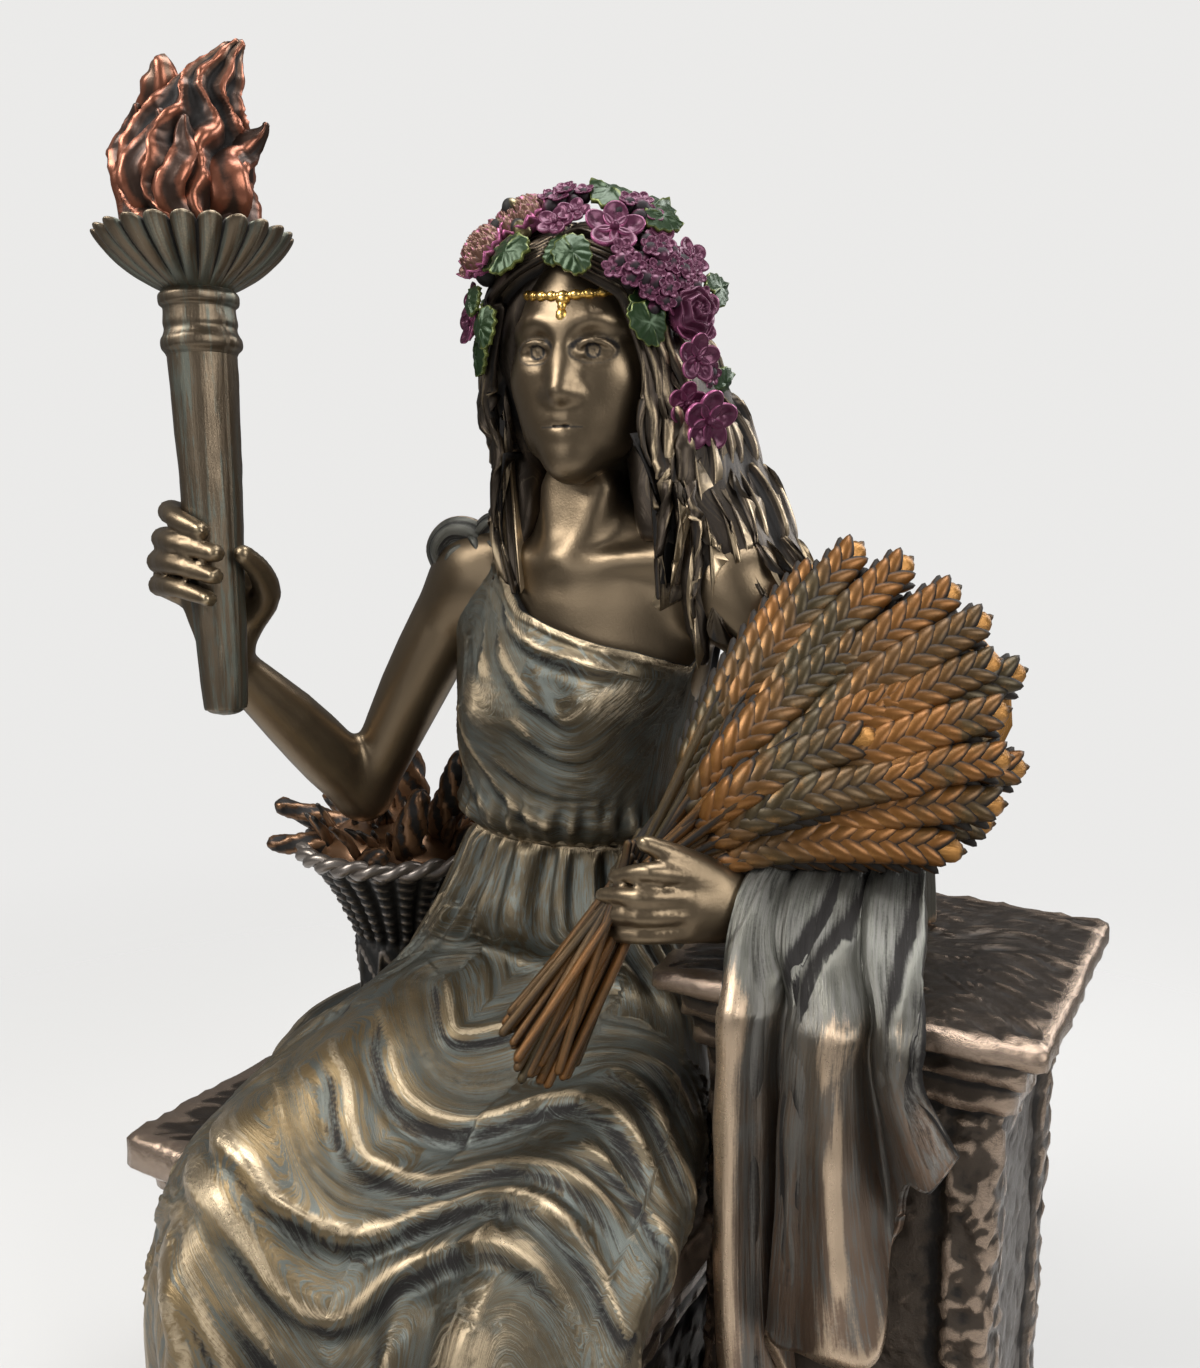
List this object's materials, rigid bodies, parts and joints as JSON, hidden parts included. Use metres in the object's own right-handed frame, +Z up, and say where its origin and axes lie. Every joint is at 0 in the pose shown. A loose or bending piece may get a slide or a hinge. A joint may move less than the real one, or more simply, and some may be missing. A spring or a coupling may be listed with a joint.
{
  "type": "seated goddess figurine",
  "caption": "Seated classical harvest goddess on a stone throne, with raised torch, wheat sheaf over one forearm, flower wreath and produce basket, on a low base.",
  "frame": {"origin": "middle of the base's flat underside", "axes": "+Z up, the figure faces -Y, her left hand is towards +X"},
  "size_m": [0.168, 0.136, 0.2656],
  "materials": {
    "bronze_casting": "antiqued cold-cast bronze, dark wash in the recesses, rubbed bright ridges, blue-grey patina streaks on the cloth, painted flowers, leaves and wheat",
    "bronze_torch": "antiqued cold-cast bronze with a dark wash, warm red rub on the ridges of the flames"
  },
  "bodies": {
    "root": {"goddess_on_throne": "bronze_casting", "torch": "bronze_torch"}
  },
  "joints": []
}
